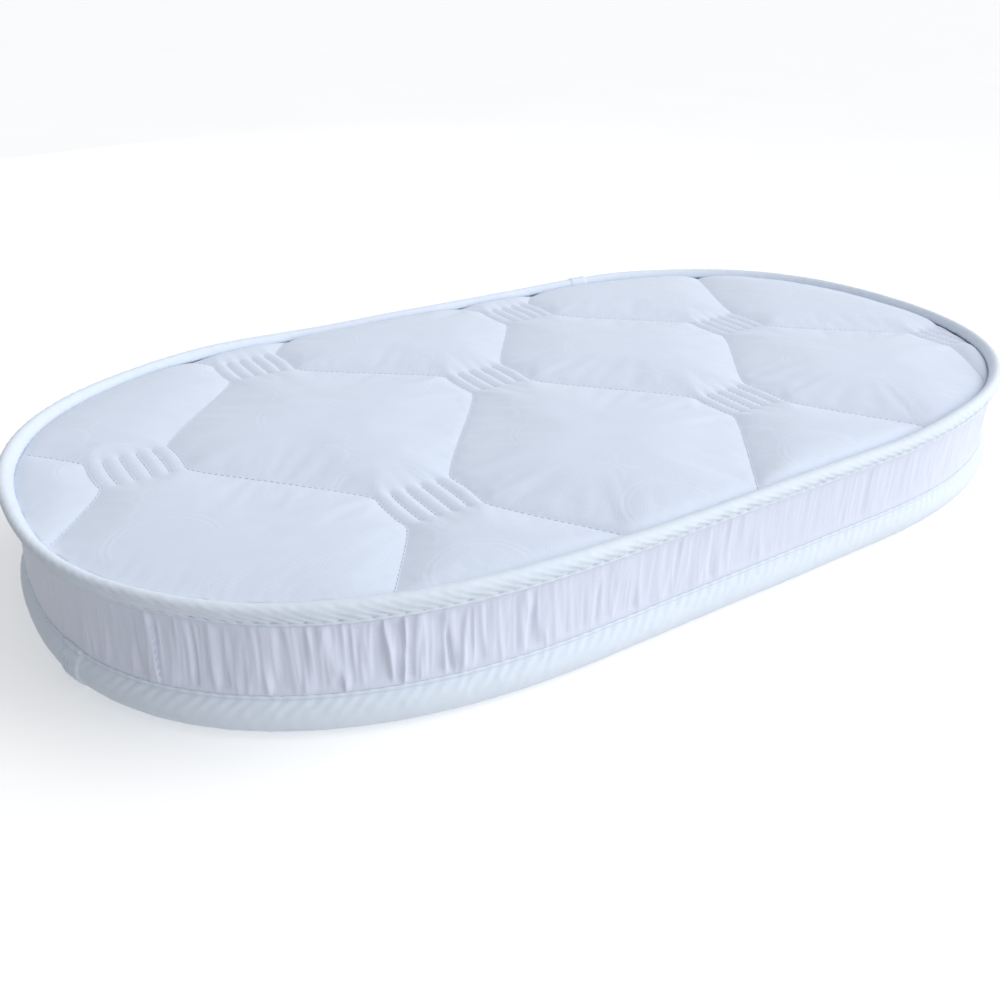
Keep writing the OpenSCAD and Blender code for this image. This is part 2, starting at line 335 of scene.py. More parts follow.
class Cloth:
    """A material in the making: a Principled shader, with helpers for patterns on it."""

    def __init__(self, name, roughness, sheen=0.0, specular=0.3):
        self.material = bpy.data.materials.new(name)
        self.material.use_nodes = True
        self.tree = self.material.node_tree
        self.shader = self.tree.nodes["Principled BSDF"]
        self.shader.inputs["Roughness"].default_value = roughness
        self.shader.inputs["Sheen Weight"].default_value = sheen
        self.shader.inputs["Sheen Roughness"].default_value = 0.45
        self.shader.inputs["Specular IOR Level"].default_value = specular

    def node(self, kind, **inputs):
        made = self.tree.nodes.new("ShaderNode" + kind)
        for key, value in inputs.items():
            made.inputs[key].default_value = value
        return made

    def placed(self, node):
        """The node, with the point's place in metres as its first input."""
        self.tree.links.new(self.node("TexCoord").outputs["Object"], node.inputs[0])
        return node

    def place(self):
        """Three fields: the point's x, y and z in metres."""
        split = self.placed(self.node("SeparateXYZ"))
        return [Field(self.tree, split.outputs[k]) for k in range(3)]

    def band(self):
        """Two fields: how far along a band and how far across it, in metres."""
        layer = self.tree.nodes.new("ShaderNodeUVMap")
        layer.uv_map = "band"
        split = self.node("SeparateXYZ")
        self.tree.links.new(layer.outputs[0], split.inputs[0])
        return [Field(self.tree, split.outputs[k]) for k in range(2)]

    def noise(self, scale, detail=2.0, stretch=(1, 1, 1)):
        """Noise from about 0 to 1, at scale bumps a metre."""
        mapping = self.placed(self.node("Mapping", Scale=stretch))
        texture = self.node("TexNoise", Scale=scale, Detail=detail)
        self.tree.links.new(mapping.outputs[0], texture.inputs["Vector"])
        return Field(self.tree, texture.outputs[0])

    def cells(self, scale):
        """Distance from the middle of the nearest cell, at scale cells a metre."""
        texture = self.placed(self.node("TexVoronoi", Scale=scale))
        return Field(self.tree, texture.outputs["Distance"])

    def colours(self, field, *stops):
        """Base colour from a field, between stops of (place, colour)."""
        ramp = self.tree.nodes.new("ShaderNodeValToRGB")
        while len(ramp.color_ramp.elements) < len(stops):
            ramp.color_ramp.elements.new(0.5)
        for element, (place, colour) in zip(ramp.color_ramp.elements, stops):
            element.position = place
            element.color = (*colour, 1)
        self.tree.links.new(field.socket, ramp.inputs[0])
        self.tree.links.new(ramp.outputs[0], self.shader.inputs["Base Color"])

    def roughness(self, field):
        self.tree.links.new(field.socket, self.shader.inputs["Roughness"])

    def relief(self, field, depth, strength=1.0):
        """Bump of the given depth in millimetres where the field is 1."""
        bump = self.node("Bump", Strength=strength, Distance=depth * MM)
        self.tree.links.new(field.socket, bump.inputs["Height"])
        self.tree.links.new(bump.outputs[0], self.shader.inputs["Normal"])


def turns(pitch):
    """Radians a metre of a wave with that pitch in millimetres."""
    return 2 * math.pi / (pitch * MM)


def tones(colour, *stops):
    """Stops of a colour that is lighter or darker at each, from pairs of (place, times)."""
    return [(place, tuple(c * times for c in colour)) for place, times in stops]


MOTIF_WIDTH, MOTIF_HEIGHT = 0.125, 0.110  # the ticking's motif repeats after these, in metres
TICKING_COLOUR = (0.715, 0.79, 0.925)
BORDER_COLOUR = (0.705, 0.75, 0.885)
TAPE_COLOUR = (0.75, 0.825, 0.93)
THREAD_COLOUR = (0.70, 0.76, 0.87)


def arc_line(x, y, cx, cy, radius, width):
    """1 on a circle's line and 0 away from it."""
    dx, dy = x - cx * MM, y - cy * MM
    r = (dx * dx + dy * dy).math("SQRT")
    return (r - radius * MM).size().step(width * MM, width * 0.4 * MM)


def ticking_material():
    """Knitted ticking: fine loops, a pique of small dots and a raised motif of curls."""
    cloth = Cloth("knitted ticking", 0.85, sheen=0.25)
    x, y, _ = cloth.place()
    dots = (x * turns(2.6)).sine() * (y * turns(2.6)).sine()
    loops = (x * turns(0.8)).sine() * (y * turns(0.62)).sine()
    cell_x = (x * (1 / MOTIF_WIDTH)).math("FRACT") * MOTIF_WIDTH
    cell_y = (y * (1 / MOTIF_HEIGHT)).math("FRACT") * MOTIF_HEIGHT
    double_arch = arc_line(cell_x, cell_y, 62, 30, 30, 1.6).most(
        arc_line(cell_x, cell_y, 62, 30, 26, 1.6)
    )
    arch = double_arch * cell_y.step(26 * MM, 34 * MM)
    left_curl = arc_line(cell_x, cell_y, 48, 80, 14, 2.4) * cell_x.step(52 * MM, 56 * MM)
    right_curl = arc_line(cell_x, cell_y, 78, 84, 12, 2.2) * cell_x.step(76 * MM, 72 * MM)
    motif = arch.most(left_curl).most(right_curl)
    soft = cloth.noise(60, 3)
    height = dots * 0.3 * (motif * -1 + 1) + loops * 0.12 + motif * 0.7
    cloth.relief(height, 0.13, 0.5)
    light = soft * 0.5 + dots * 0.06 + motif * 0.15 + 0.15
    cloth.colours(light, *tones(TICKING_COLOUR, (0.1, 0.955), (0.75, 1.03)))
    cloth.roughness(soft * 0.14 - motif * 0.12 + 0.78)
    return cloth.material


def satin_material():
    """Woven satin: fine upright yarns with slubs, and a soft lustre."""
    cloth = Cloth("satin border cloth", 0.48, sheen=0.2, specular=0.5)
    u, v = cloth.band()
    warp = (u * turns(0.9)).sine()
    weft = (v * turns(0.7)).sine()
    slubs = cloth.noise(420, 3, (1, 1, 0.06))
    cloth.relief(warp * 0.12 + weft * 0.12 + slubs * 1.4, 0.16, 0.5)
    light = slubs * 0.8 + warp * 0.06 + 0.1
    cloth.colours(light, *tones(BORDER_COLOUR, (0.2, 0.95), (0.8, 1.04)))
    cloth.roughness(slubs * 0.25 + 0.34)
    return cloth.material


def tape_material():
    """Knitted binding tape: narrow slanting ribs between two plain edges."""
    cloth = Cloth("binding tape", 0.75, sheen=0.3)
    u, v = cloth.band()
    ribs = (u * turns(1.2) + v * turns(1.6)).sine()
    yarn = (u * turns(0.6)).sine() * (v * turns(0.6)).sine()
    soft = cloth.noise(140, 3)
    cloth.relief(ribs * 0.3 + yarn * 0.25 + soft * 0.6, 0.09, 0.5)
    light = soft * 0.6 + ribs * 0.03 + 0.15
    cloth.colours(light, *tones(TAPE_COLOUR, (0.2, 0.96), (0.8, 1.03)))
    cloth.roughness(soft * 0.16 + 0.66)
    return cloth.material


def thread_material():
    """Twisted sewing thread."""
    cloth = Cloth("sewing thread", 0.5, sheen=0.2, specular=0.45)
    x, y, z = cloth.place()
    ply = ((x + y * 0.8 + z * 1.3) * turns(0.7)).sine()
    cloth.relief(ply, 0.08, 0.6)
    cloth.colours(ply * 0.4 + 0.5, *tones(THREAD_COLOUR, (0.1, 0.9), (0.9, 1.05)))
    cloth.roughness(ply * 0.08 + 0.5)
    return cloth.material


def fleece_material():
    """Polyester wadding: a tangle of fine fibres."""
    cloth = Cloth("polyester wadding", 0.95, sheen=0.5)
    fibres = cloth.noise(900, 6, (1, 0.25, 0.6))
    lumps = cloth.noise(45, 3)
    cloth.relief(fibres * 0.7 + lumps * 2, 0.5, 0.7)
    cloth.colours(fibres, (0.3, (0.78, 0.79, 0.78)), (0.7, (0.88, 0.89, 0.89)))
    cloth.roughness(lumps * 0.1 + 0.88)
    return cloth.material


def nonwoven_material():
    """Spun-bonded backing with its small pressed dots."""
    cloth = Cloth("non-woven backing", 0.8)
    x, y, _ = cloth.place()
    pressed = ((x * turns(2)).sine() * (y * turns(2)).sine()).step(0.35, 0.7)
    fibres = cloth.noise(1200, 5)
    cloth.relief(fibres * 0.5 - pressed, 0.12, 0.6)
    cloth.colours(fibres - pressed * 0.3, (0.1, (0.62, 0.65, 0.69)), (0.8, (0.78, 0.80, 0.83)))
    cloth.roughness(pressed * -0.25 + 0.85)
    return cloth.material


def foam_material():
    """Open-celled foam."""
    cloth = Cloth("open-celled foam", 0.95)
    fine, coarse = cloth.cells(900), cloth.cells(330)
    cloth.relief(fine * 0.8 + coarse, 0.4, 0.8)
    cloth.colours(coarse * 1.2, (0.1, (0.70, 0.62, 0.42)), (0.8, (0.86, 0.79, 0.58)))
    cloth.roughness(fine * 0.1 + 0.88)
    return cloth.material


def floor_material():
    """Plain pale floor, with just enough unevenness to look real."""
    cloth = Cloth("pale floor", 0.9, specular=0.1)
    soft = cloth.noise(3, 2)
    cloth.colours(soft, (0.3, (0.93, 0.93, 0.93)), (0.7, (0.95, 0.95, 0.95)))
    cloth.roughness(soft * 0.05 + 0.88)
    cloth.shader.inputs["Emission Color"].default_value = (1, 1, 1, 1)
    cloth.shader.inputs["Emission Strength"].default_value = 0.24
    return cloth.material


TICKING, SATIN, TAPE = ticking_material(), satin_material(), tape_material()
THREAD, FLEECE = thread_material(), fleece_material()
NONWOVEN, FOAM = nonwoven_material(), foam_material()


def finish_piece(obj, material, node):
    """Gives a piece its material, puts it on the body and lets it stand for a CAD node."""
    obj.data.materials.clear()
    obj.data.materials.append(material)
    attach(obj, "root")
    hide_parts(node)


# ------------ tapes


def place(s):
    """x and y at a distance along the outline."""
    point, _ = outline(s)
    return point[..., 0], point[..., 1]


def rim_sag(s):
    """How far the crest of the upper rolled edge has sunk: along the rear side, more so along
    the front side, and at the front left corner."""
    x, y = place(s)
    rear = 2.4 * smooth(STRAIGHT / 2 + 120 - np.abs(x), 0, 150) * smooth(y, 0, 120)
    front = 4.4 * smooth(x, -200, -80) * (1 - smooth(x, 110, 210)) * smooth(-y, 40, 150)
    corner = 2.2 * smooth(x, -345, -290) * (1 - smooth(x, -190, -110)) * smooth(-y, 60, 140)
    wave = noise(s / PERIMETER * 20, 0, 61, 20)
    return rear + front + corner + 0.6 + 0.6 * wave


def sunk(z, s):
    """A height at the upper edge after the edge has sunk: most at the crest, little below."""
    share = 0.35 + 0.65 * np.clip((z - 66) / (HEIGHT - 66), 0, 1)
    return z - rim_sag(s) * share


def lean_in(s):
    """How far inwards the upper rolled edge stands, at the right end."""
    return 2.0 * smooth(place(s)[0], 180, 375)


def flop(s):
    """How far the upper rolled edge has flopped outwards, 1 at the left end."""
    return smooth(-place(s)[0], 250, 335)


def flopped(inset, z, s):
    """A point of the upper edge after the edge has flopped outwards: its crest moves out, and its
    outer side turns under and ends further in."""
    outer = inset < UPPER_ROLL.half_width + 2
    under = np.clip((ROLL_MIDDLE + 4 - z) / 11.5, 0, 1.2) * outer * flop(s)
    over = smooth(z, ROLL_MIDDLE, HEIGHT - 1) * flop(s)
    return inset + 2.5 * under**1.3 - 1.2 * over, z + 0.6 * under


def settled(inset, z, s, upside_down):
    """Where a point worked out for a plain upper edge ends up: on the lower edge, mirrored, or on
    the upper one, flopped, leaning in and sunk."""
    if upside_down:
        return inset, HEIGHT - z
    inset, z = flopped(inset, z, s)
    return inset + lean_in(s), sunk(z, s)


def tape_section(roll):
    """A tape's section, as at the upper edge, from its outer edge over the roll to the panel:
    inset and height of each point, its outward direction, and its distance from the edge."""
    a, b, wrap, lean = roll
    angle = np.radians(np.linspace(-wrap, 190, 240))
    over = np.stack([a - a * np.cos(angle), HEIGHT - b + b * np.sin(angle)], 1)
    seam = over[0]
    edge = seam + (lean, -math.sqrt(TAPE_LIP**2 - lean**2))
    share = np.linspace(1, 0, 9)[:8, None]
    lip = seam + (edge - seam) * share
    lip[:, 0] -= 0.5 * np.sin(np.pi * share[:, 0])
    curl = edge + (0.6, 0.1)
    fine = np.concatenate([[curl], lip, over])
    run = run_of(fine)
    near = [0, 0.6, 1.1, 1.6, 2.1, 2.6, 3.1, 3.6, 4.2, 5.0, 6.0, 7.1, 8.3, 9.6, 11.0]
    across = np.concatenate([near, np.linspace(12.5, run[-1], 13)])
    path = along(across, run, fine)
    way = np.gradient(path, axis=0)
    way /= np.linalg.norm(way, axis=1, keepdims=True)
    out = np.stack([way[:, 1], way[:, 0]], 1)
    return path, out, across


def tape_relief(s, across, seed, lap_at, depth, slant):
    """How far the tape's face is pushed out at each point: slanting ropes pulled in by each
    stitch, depth deep, slow unevenness of the roll, and the lap where its two ends meet."""
    repeat = round(PERIMETER / STITCH_PITCH)
    beat = s[:, None] / PERIMETER * repeat
    above = across[None, :] - SEAM_ABOVE_EDGE
    jitter = 0.16 * noise(beat, 0, seed, repeat)
    phase = beat + jitter + slant * above / STITCH_PITCH
    off_beat = phase - np.round(phase)
    strong = 1 + 0.3 * noise(beat, above / 14, seed + 1, repeat)
    ropes = (0.35 + 0.65 * np.cos(np.pi * off_beat) ** 2) * strong
    ropes = ropes * np.exp(-((np.maximum(above, 0) / 9.5) ** 2)) * smooth(above, -1.2, 1.6)
    lip = 0.3 * (0.5 + 0.5 * np.cos(2 * np.pi * (beat + jitter))) * (1 - smooth(above, -1.2, -0.4))
    groove = np.exp(-((above / 0.9) ** 2))
    fine = 0.12 * noise(beat * 2, above / 4, seed + 3, repeat * 2)
    slow = 0.35 * noise(s[:, None] / PERIMETER * 28, above / 22, seed + 2, 28)
    lap = apart(s, lap_at)
    lap = LAP_RISE * smooth(lap, -8.6, -7.6) * (1 - smooth(lap, 7.6, 8.2))
    push = -depth * ropes - 0.3 * groove - lip + (slow + fine) * smooth(above, 0, 6)
    return push + lap[:, None]


def make_tape(name, roll, upside_down, seed, lap_at, depth, slant):
    """One binding tape, rolled over its edge."""
    path, out, across = tape_section(roll)
    s = even_steps(1.0)
    push = tape_relief(s, across, seed, lap_at, depth, slant)
    inset = path[:, 0] - push * out[:, 0]
    z = path[:, 1] + push * out[:, 1]
    inset, z = settled(inset, z, s[:, None], upside_down)
    if upside_down:
        inset, z = inset[:, ::-1], np.maximum(z, 0)[:, ::-1]
        across = across[-1] - across[::-1]
    return ring_object(name, s, across, stations(s[:, None], inset, z)[0])


def flip_if_inward(obj):
    """Turns the faces so that they look out of the mattress."""
    mesh = obj.data
    centre = Vector((0, 0, HEIGHT / 2 * MM))
    if sum((p.center - centre).dot(p.normal) * p.area for p in mesh.polygons) < 0:
        mesh.flip_normals()
    return obj


def tape_stitches(name, inset, z, upside_down, seed):
    """Long stitches side by side round the outline, at an inset and a height of the upper edge."""
    count = round(PERIMETER / STITCH_PITCH)
    rng = np.random.default_rng(seed)
    middle = (np.arange(count) + rng.uniform(-0.04, 0.04, count)) * PERIMETER / count
    q = np.linspace(-1, 1, 5)
    s = middle[:, None] + q * HALF_STITCH
    dip = 0.15 * q**2 + 0.35 * np.abs(q) ** 3  # a stitch's ends go down into the cloth
    height = z - 0.5 * q + rng.uniform(-0.1, 0.1, count)[:, None]
    inset, height = settled(inset + dip, height, s, upside_down)
    return threads(name, *stations(s, inset, height), EDGE_THREAD)


def tacks(name, roll, at, upside_down):
    """The three short stitches that close a tape's lap, 4 mm apart."""
    a, b, wrap, _ = roll
    angle = np.radians(np.linspace(-wrap / 2, 30, 7))
    out = LAP_RISE + 0.1
    inset = a - (a + out) * np.cos(angle)
    z = HEIGHT - b + (b + out) * np.sin(angle)
    s = at + 4 * np.array([[-1], [0], [1]]) + 0 * angle
    return threads(name, *stations(s, *settled(inset, z, s, upside_down)), FINE_THREAD)


def make_filler(name, roll, upside_down):
    """The fleece that fills a rolled edge."""
    a, b, _, _ = roll
    angle = np.radians(np.arange(0, 360, 20))
    s = even_steps(6)
    lumps = 1 + 0.05 * noise(s[:, None] / 9, angle, 71)
    inset = a - (a - 2.1) * np.cos(angle) * lumps
    z = HEIGHT - b + 0.6 + (b - 2.8) * np.sin(angle) * lumps
    inset, z = settled(inset, z, s[:, None], upside_down)
    points, _ = stations(s[:, None], inset, z)
    faces = grid_faces(len(s), len(angle), True, True)
    if upside_down:
        faces = faces[:, ::-1]
    return new_object(name, points.reshape(-1, 3), faces.tolist())


ROPING = {
    "top": {"seed": 11, "lap_at": TOP_LAP_AT, "depth": 1.7, "slant": 1.7},
    "bottom": {"seed": 31, "lap_at": BOTTOM_LAP_AT, "depth": 0.6, "slant": 1.0},
}
for side, roll, upside_down in SIDES:
    tape = make_tape(side + "_tape_cloth", roll, upside_down, **ROPING[side])
    thicken(flip_if_inward(tape), TAPE_T)
    finish_piece(tape, TAPE, side + "_tape")
    flat = (tape_section(roll)[2][-1] * MM, PERIMETER * MM)

for side, roll, upside_down in SIDES:
    section, _, section_across = tape_section(roll)
    seam_inset, seam_z = along(SEAM_ABOVE_EDGE, section_across, section)
    needle = tape_stitches(side + "_needle_stitches", seam_inset + 0.75, seam_z, upside_down, 3)
    finish_piece(needle, THREAD, side + "_needle_thread")
    inner_inset, inner_z = 2 * roll.half_width + 0.1, HEIGHT - roll.half_height
    looper = tape_stitches(side + "_looper_stitches", inner_inset, inner_z, upside_down, 5)
    finish_piece(looper, THREAD, side + "_looper_thread")
    lap_stitches = tacks(side + "_lap_stitches", roll, ROPING[side]["lap_at"], upside_down)
    finish_piece(lap_stitches, THREAD, side + "_tape_tack")
    filler = make_filler(side + "_edge_fleece", roll, upside_down)
    finish_piece(filler, FLEECE, side + "_edge_filler")


# ------------ border


def hollow(z):
    """Share of the hollow of border and backing at a height: 1 at mid height, 0 at the ends."""
    t = np.minimum(1, np.abs(z - HEIGHT / 2) / (HEIGHT / 2 - HOLLOW_MARGIN))
    return 1 - t * t


def border_relief(s, q):
    """How far the gathered border stands out, s along it and q from 0 at its lower seam to 1
    at its upper one: three sizes of gathers, single strong folds, and the tuck that closes it.
    It is calmer along the right of the front side and to the left of the tuck."""
    s, q = s[:, None], q[None, :]
    lean = 4 * noise(s / PERIMETER * 40, 0, 50, 40) * (q - 0.5)
    edge = np.abs(2 * q - 1) ** 1.6

    def folds(pitch, rows, seed):
        count = round(PERIMETER / pitch)
        n = noise((s + lean) / PERIMETER * count, q * rows + seed, seed, count)
        return 1 - np.abs(n) * 2.4

    calm = 1.15 + 0.5 * noise(s / PERIMETER * 26, 0, 51, 26)
    x, y = place(s)
    taut = 0.50 * smooth(x, -120, 40) * smooth(-y, -80, 80) + 0.32 * smooth(x, -260, -150)
    calm = calm * (1 - taut - 0.35 * smooth(-x, 250, 340))
    past_closing = -apart(s, BORDER_CLOSES_AT)
    calm = calm * (1 - 0.55 * smooth(past_closing, 2, 20) * (1 - smooth(past_closing, 260, 340)))
    big = folds(9.5, 1.0, 52)
    middle = folds(5.2, 1.6, 53)
    fine = folds(2.8, 2.2, 54)
    gathers = big * (0.75 + 0.35 * edge) + middle * (0.55 + 0.25 * edge) + fine * 0.22
    rng = np.random.default_rng(55)
    strong = np.zeros_like(gathers)
    for at in rng.uniform(0, PERIMETER, 64):
        width, tall, tilt = rng.uniform(0.9, 2.2), rng.uniform(-2.8, 2.2), rng.uniform(-5, 5)
        reach = rng.uniform(0, 2.5)
        d = apart(s, at) + tilt * (q - 0.5)
        side = q if rng.random() < 0.7 else 1 - q
        strong = strong + tall * np.exp(-((d / width) ** 2)) * smooth(1 - side, 0.0, 0.5) ** reach
    tuck = apart(s, BORDER_CLOSES_AT) + 2 * (q - 0.5)
    tuck = 1.5 * smooth(tuck, -12, -0.5) * (1 - smooth(tuck, 0, 0.9))
    return 0.35 + calm * (gathers + 0.8 * strong) + tuck


def make_border():
    """The gathered border. It stays under the tapes' lips and over its backing."""
    s = even_steps(0.8)
    q = np.linspace(0, 1, 25)
    q = 0.35 * q + 0.65 * (0.5 - 0.5 * np.cos(np.pi * q))  # closer together at both ends
    z = BORDER_MARGIN + (HEIGHT - 2 * BORDER_MARGIN + BORDER_TUCKED) * q
    lip_inset, lip_z = tape_section(UPPER_ROLL)[0][0]
    lip_inset, lip_z = flopped(np.array(lip_inset), np.array(lip_z), s)
    lower_lip = HEIGHT - tape_section(LOWER_ROLL)[0][0, 1]
    free = np.minimum(sunk(lip_z, s)[:, None] - z[None, :], z[None, :] - lower_lip)
    room = 1.3 * smooth(free, -1.0, 0.4) + 2.6 * smooth(free, 0.4, 5)
    least = 1.0 - 1.9 * smooth(free, 0.5, 7)
    push = np.minimum(np.maximum(border_relief(s, q), least), room)
    inset = BORDER_INSET + BORDER_HOLLOW * hollow(z) - push
    turned_in = np.maximum(lip_inset + TAPE_T - BORDER_INSET, 0)
    inset = inset + turned_in[:, None] * smooth(z, 26, 62)[None, :]
    inset = np.minimum(inset, BACKING_INSET + BACKING_HOLLOW * hollow(z))
    points, _ = stations(s[:, None], inset, z)
    obj = ring_object("border_band_cloth", s, z - BORDER_MARGIN, points)
    return thicken(flip_if_inward(obj), BORDER_T)


border = make_border()
finish_piece(border, SATIN, "border_band")
flat = (0.055, BORDER_FULLNESS * PERIMETER * MM)


def closing_stitches():
    """The upright row of stitches that closes the border's two ends."""
    rows = np.arange(24, 57, 4.6)
    q = np.linspace(-1, 1, 5)
    z = rows[:, None] + q * 1.7
    s = np.full(z.shape, BORDER_CLOSES_AT + 1.6)
    inset = BORDER_INSET + BORDER_HOLLOW * hollow(z) - 0.9 - 0.3 * (1 - q**2)
    return threads("border_closing_stitches", *stations(s, inset, z), 0.35)


finish_piece(closing_stitches(), THREAD, "border_closing_thread")


# ------------ quilting


def patch_centre(i, j):
    """Middle of the lattice's patch in column i and row j."""
    wander = WANDER.get((i, j), (0, 0))
    return np.array([QUILT_X + i * QUILT_STEP + wander[0], QUILT_Y + j * QUILT_STEP + wander[1]])


def bezier(a, b, c, d, count):
    """Points along a cubic curve from a to d."""
    t = np.linspace(0, 1, count)[:, None]
    return a * (1 - t) ** 3 + 3 * b * t * (1 - t) ** 2 + 3 * c * t * t * (1 - t) + d * t**3


def seam_lines():
    """Every quilting seam as a row of points: the lines of each patch, and the diagonals that
    join the patches' corners."""
    lines = []
    for i in range(-3, 4):
        for j in range(-2, 3):
            if (i + j) % 2:
                continue
            centre = patch_centre(i, j)
            pitch = PATCH_W / (PATCH_LINES - 1)
            for k in range(PATCH_LINES):
                y = np.linspace(-PATCH_D / 2, PATCH_D / 2, 22)
                bow = 0.5 * (k - (PATCH_LINES - 1) / 2) * (1 - (2 * y / PATCH_D) ** 2)
                x = k * pitch - PATCH_W / 2 + bow
                lines.append(np.stack([centre[0] + x, centre[1] + y], 1))
            for side in (-1, 1):
                corner = centre + (PATCH_W / 2, side * PATCH_D / 2)
                other = patch_centre(i + 1, j + side) - (PATCH_W / 2, side * PATCH_D / 2)
                pull = np.array([0, side * 11])
                lines.append(bezier(corner, corner + pull, other - pull, other, 70))
    return lines


def tree_of(points):
    """Search tree over flat points."""
    tree = KDTree(len(points))
    for k, (x, y) in enumerate(points.tolist()):
        tree.insert((x, y, 0), k)
    tree.balance()
    return tree


OUTLINE_SAMPLE = DENSE[::6]
OUTLINE_TREE = tree_of(OUTLINE_SAMPLE[:, :2])


def inside_by(points):
    """How far inside the outline each point lies."""
    near = [OUTLINE_TREE.find((x, y, 0))[1] for x, y in points.tolist()]
    found = OUTLINE_SAMPLE[near]
    return -((points - found[:, :2]) * found[:, 2:]).sum(1)


def spaced(line, step):
    """The line's points again, step apart, and its directions there."""
    run = run_of(line)
    points = along(np.linspace(0, run[-1], max(2, round(run[-1] / step))), run, line)
    way = np.gradient(points, axis=0)
    return points, way / np.linalg.norm(way, axis=1, keepdims=True)


SEAMS = seam_lines()
SEAM_TREE = tree_of(np.concatenate([spaced(line, 0.5)[0] for line in SEAMS]))


def seam_distance(points):
    """Distance from each point to the nearest seam."""
    return np.array([SEAM_TREE.find((x, y, 0))[2] for x, y in points.tolist()])


EDGE_RINGS = (9.0, 10.6, 12.4, 14.6, 17.6, 21.5)  # insets of the rings of points at the edge
FILL_INSET = 23.5  # inset from which the even filling starts
# Rows of points beside a seam: how far from it they are, how far apart along it, and how much
# room each needs
SEAM_ROWS = [(0, 1.7, 0.8)] + [
    (distance * side, step, distance * 0.62)
    for distance, step in ((1.1, 1.7), (2.6, 2.2), (4.7, 2.8))
    for side in (-1, 1)
]


def quilt_points(fine):
    """Points for a quilted layer: rows along the seams, rings along the edge, and an even
    filling between. fine is the scale of their spacing."""
    taken, cells = [], {}

    def ring(inset, pitch, shift=0):
        """Points all round the outline at an inset, the first one shift steps along it."""
        count = round(PERIMETER / (pitch * fine))
        point, normal = outline((np.arange(count) + shift) * PERIMETER / count)
        return point - inset * normal

    def add(points, room):
        """Keeps the points that have room round them."""
        size = 3.0 * fine
        for x, y in points.tolist():
            cx, cy = int(x // size), int(y // size)
            near = ((ix, iy) for ix in (cx - 1, cx, cx + 1) for iy in (cy - 1, cy, cy + 1))
            others = (q for cell in near for q in cells.get(cell, ()))
            if all((qx - x) ** 2 + (qy - y) ** 2 >= room * room for qx, qy in others):
                cells.setdefault((cx, cy), []).append((x, y))
                taken.append((x, y))

    add(ring(PANEL_END, 2.4), 0.1)
    for offset, step, room in SEAM_ROWS:
        for line in SEAMS:
            points, way = spaced(line, step * fine)
            points = points + offset * np.stack([-way[:, 1], way[:, 0]], 1)
            points = points[np.abs(points[:, 1]) < HALF_WIDTH]
            if not len(points):
                continue
            depth = inside_by(points)
            keep = depth > PANEL_END + 1.0
            if offset:
                keep &= seam_distance(points) > abs(offset) * 0.85
            add(points[keep], max(room, 0.8) * fine)
    for inset in EDGE_RINGS:
        add(ring(inset, 2.6, 0.5), 1.5 * fine)
    step = 3.3 * fine
    gx = np.arange(-HALF_LENGTH, HALF_LENGTH, step)
    gy = np.arange(-HALF_WIDTH, HALF_WIDTH, step * math.sqrt(3) / 2)
    mesh_x, mesh_y = np.meshgrid(gx, gy)
    mesh_x = mesh_x + step / 2 * (np.arange(len(gy)) % 2)[:, None]
    fill = np.stack([mesh_x.ravel(), mesh_y.ravel()], 1)
    add(fill[inside_by(fill) > FILL_INSET], 2.2 * fine)
    return np.array(taken)


def triangles(points):
    """Delaunay triangles of the points, anticlockwise."""
    found = delaunay_2d_cdt([Vector(p) for p in points.tolist()], [], [], 0, 1e-6)
    verts = np.array([tuple(v) for v in found[0]])
    faces = np.array(found[2])
    a, b, c = (verts[faces[:, k]] for k in range(3))
    area = (b[:, 0] - a[:, 0]) * (c[:, 1] - a[:, 1]) - (b[:, 1] - a[:, 1]) * (c[:, 0] - a[:, 0])
    real = np.abs(area) > 0.05  # leaves out slivers between points in line
    faces, area = faces[real], area[real]
    faces[area < 0] = faces[area < 0][:, ::-1]
    return verts, faces


def edge_height(points):
    """Height where the panel meets the roll: higher at the front and left, where it rides up,
    and almost level with the roll's crest at the front left."""
    x, y = points[:, 0], points[:, 1]
    near = 3.2 * smooth(-0.85 * x - 0.5 * y, -60, 160)
    return PANEL_END_Z + near + 3.9 * smooth(-0.75 * x - 0.66 * y, 215, 310)


def edge_drop(depth):
    """How the panel comes down beside the roll, from 0 in its field to 1 in the seam."""
    t = np.clip((depth - PANEL_END) / (FIELD_INSET - PANEL_END), 0, 1)
    return (1 - t) ** 2


def seam_height(points):
    """Height of the quilting seams, which are shallower at the left end."""
    return SEAM_Z + 1.5 * smooth(-points[:, 0], 185, 250)


def quilt_height(points, seam_gap, depth):
    """Height of the quilted face before it is blown up: low at the seams and at the edge."""
    seam = seam_height(points)
    field = seam + (SEAM_Z + PILLOW_RISE - seam) * (1 - np.exp(-seam_gap / PILLOW_SPREAD))
    low = edge_height(points)
    return low + (field - low) * (1 - edge_drop(depth))


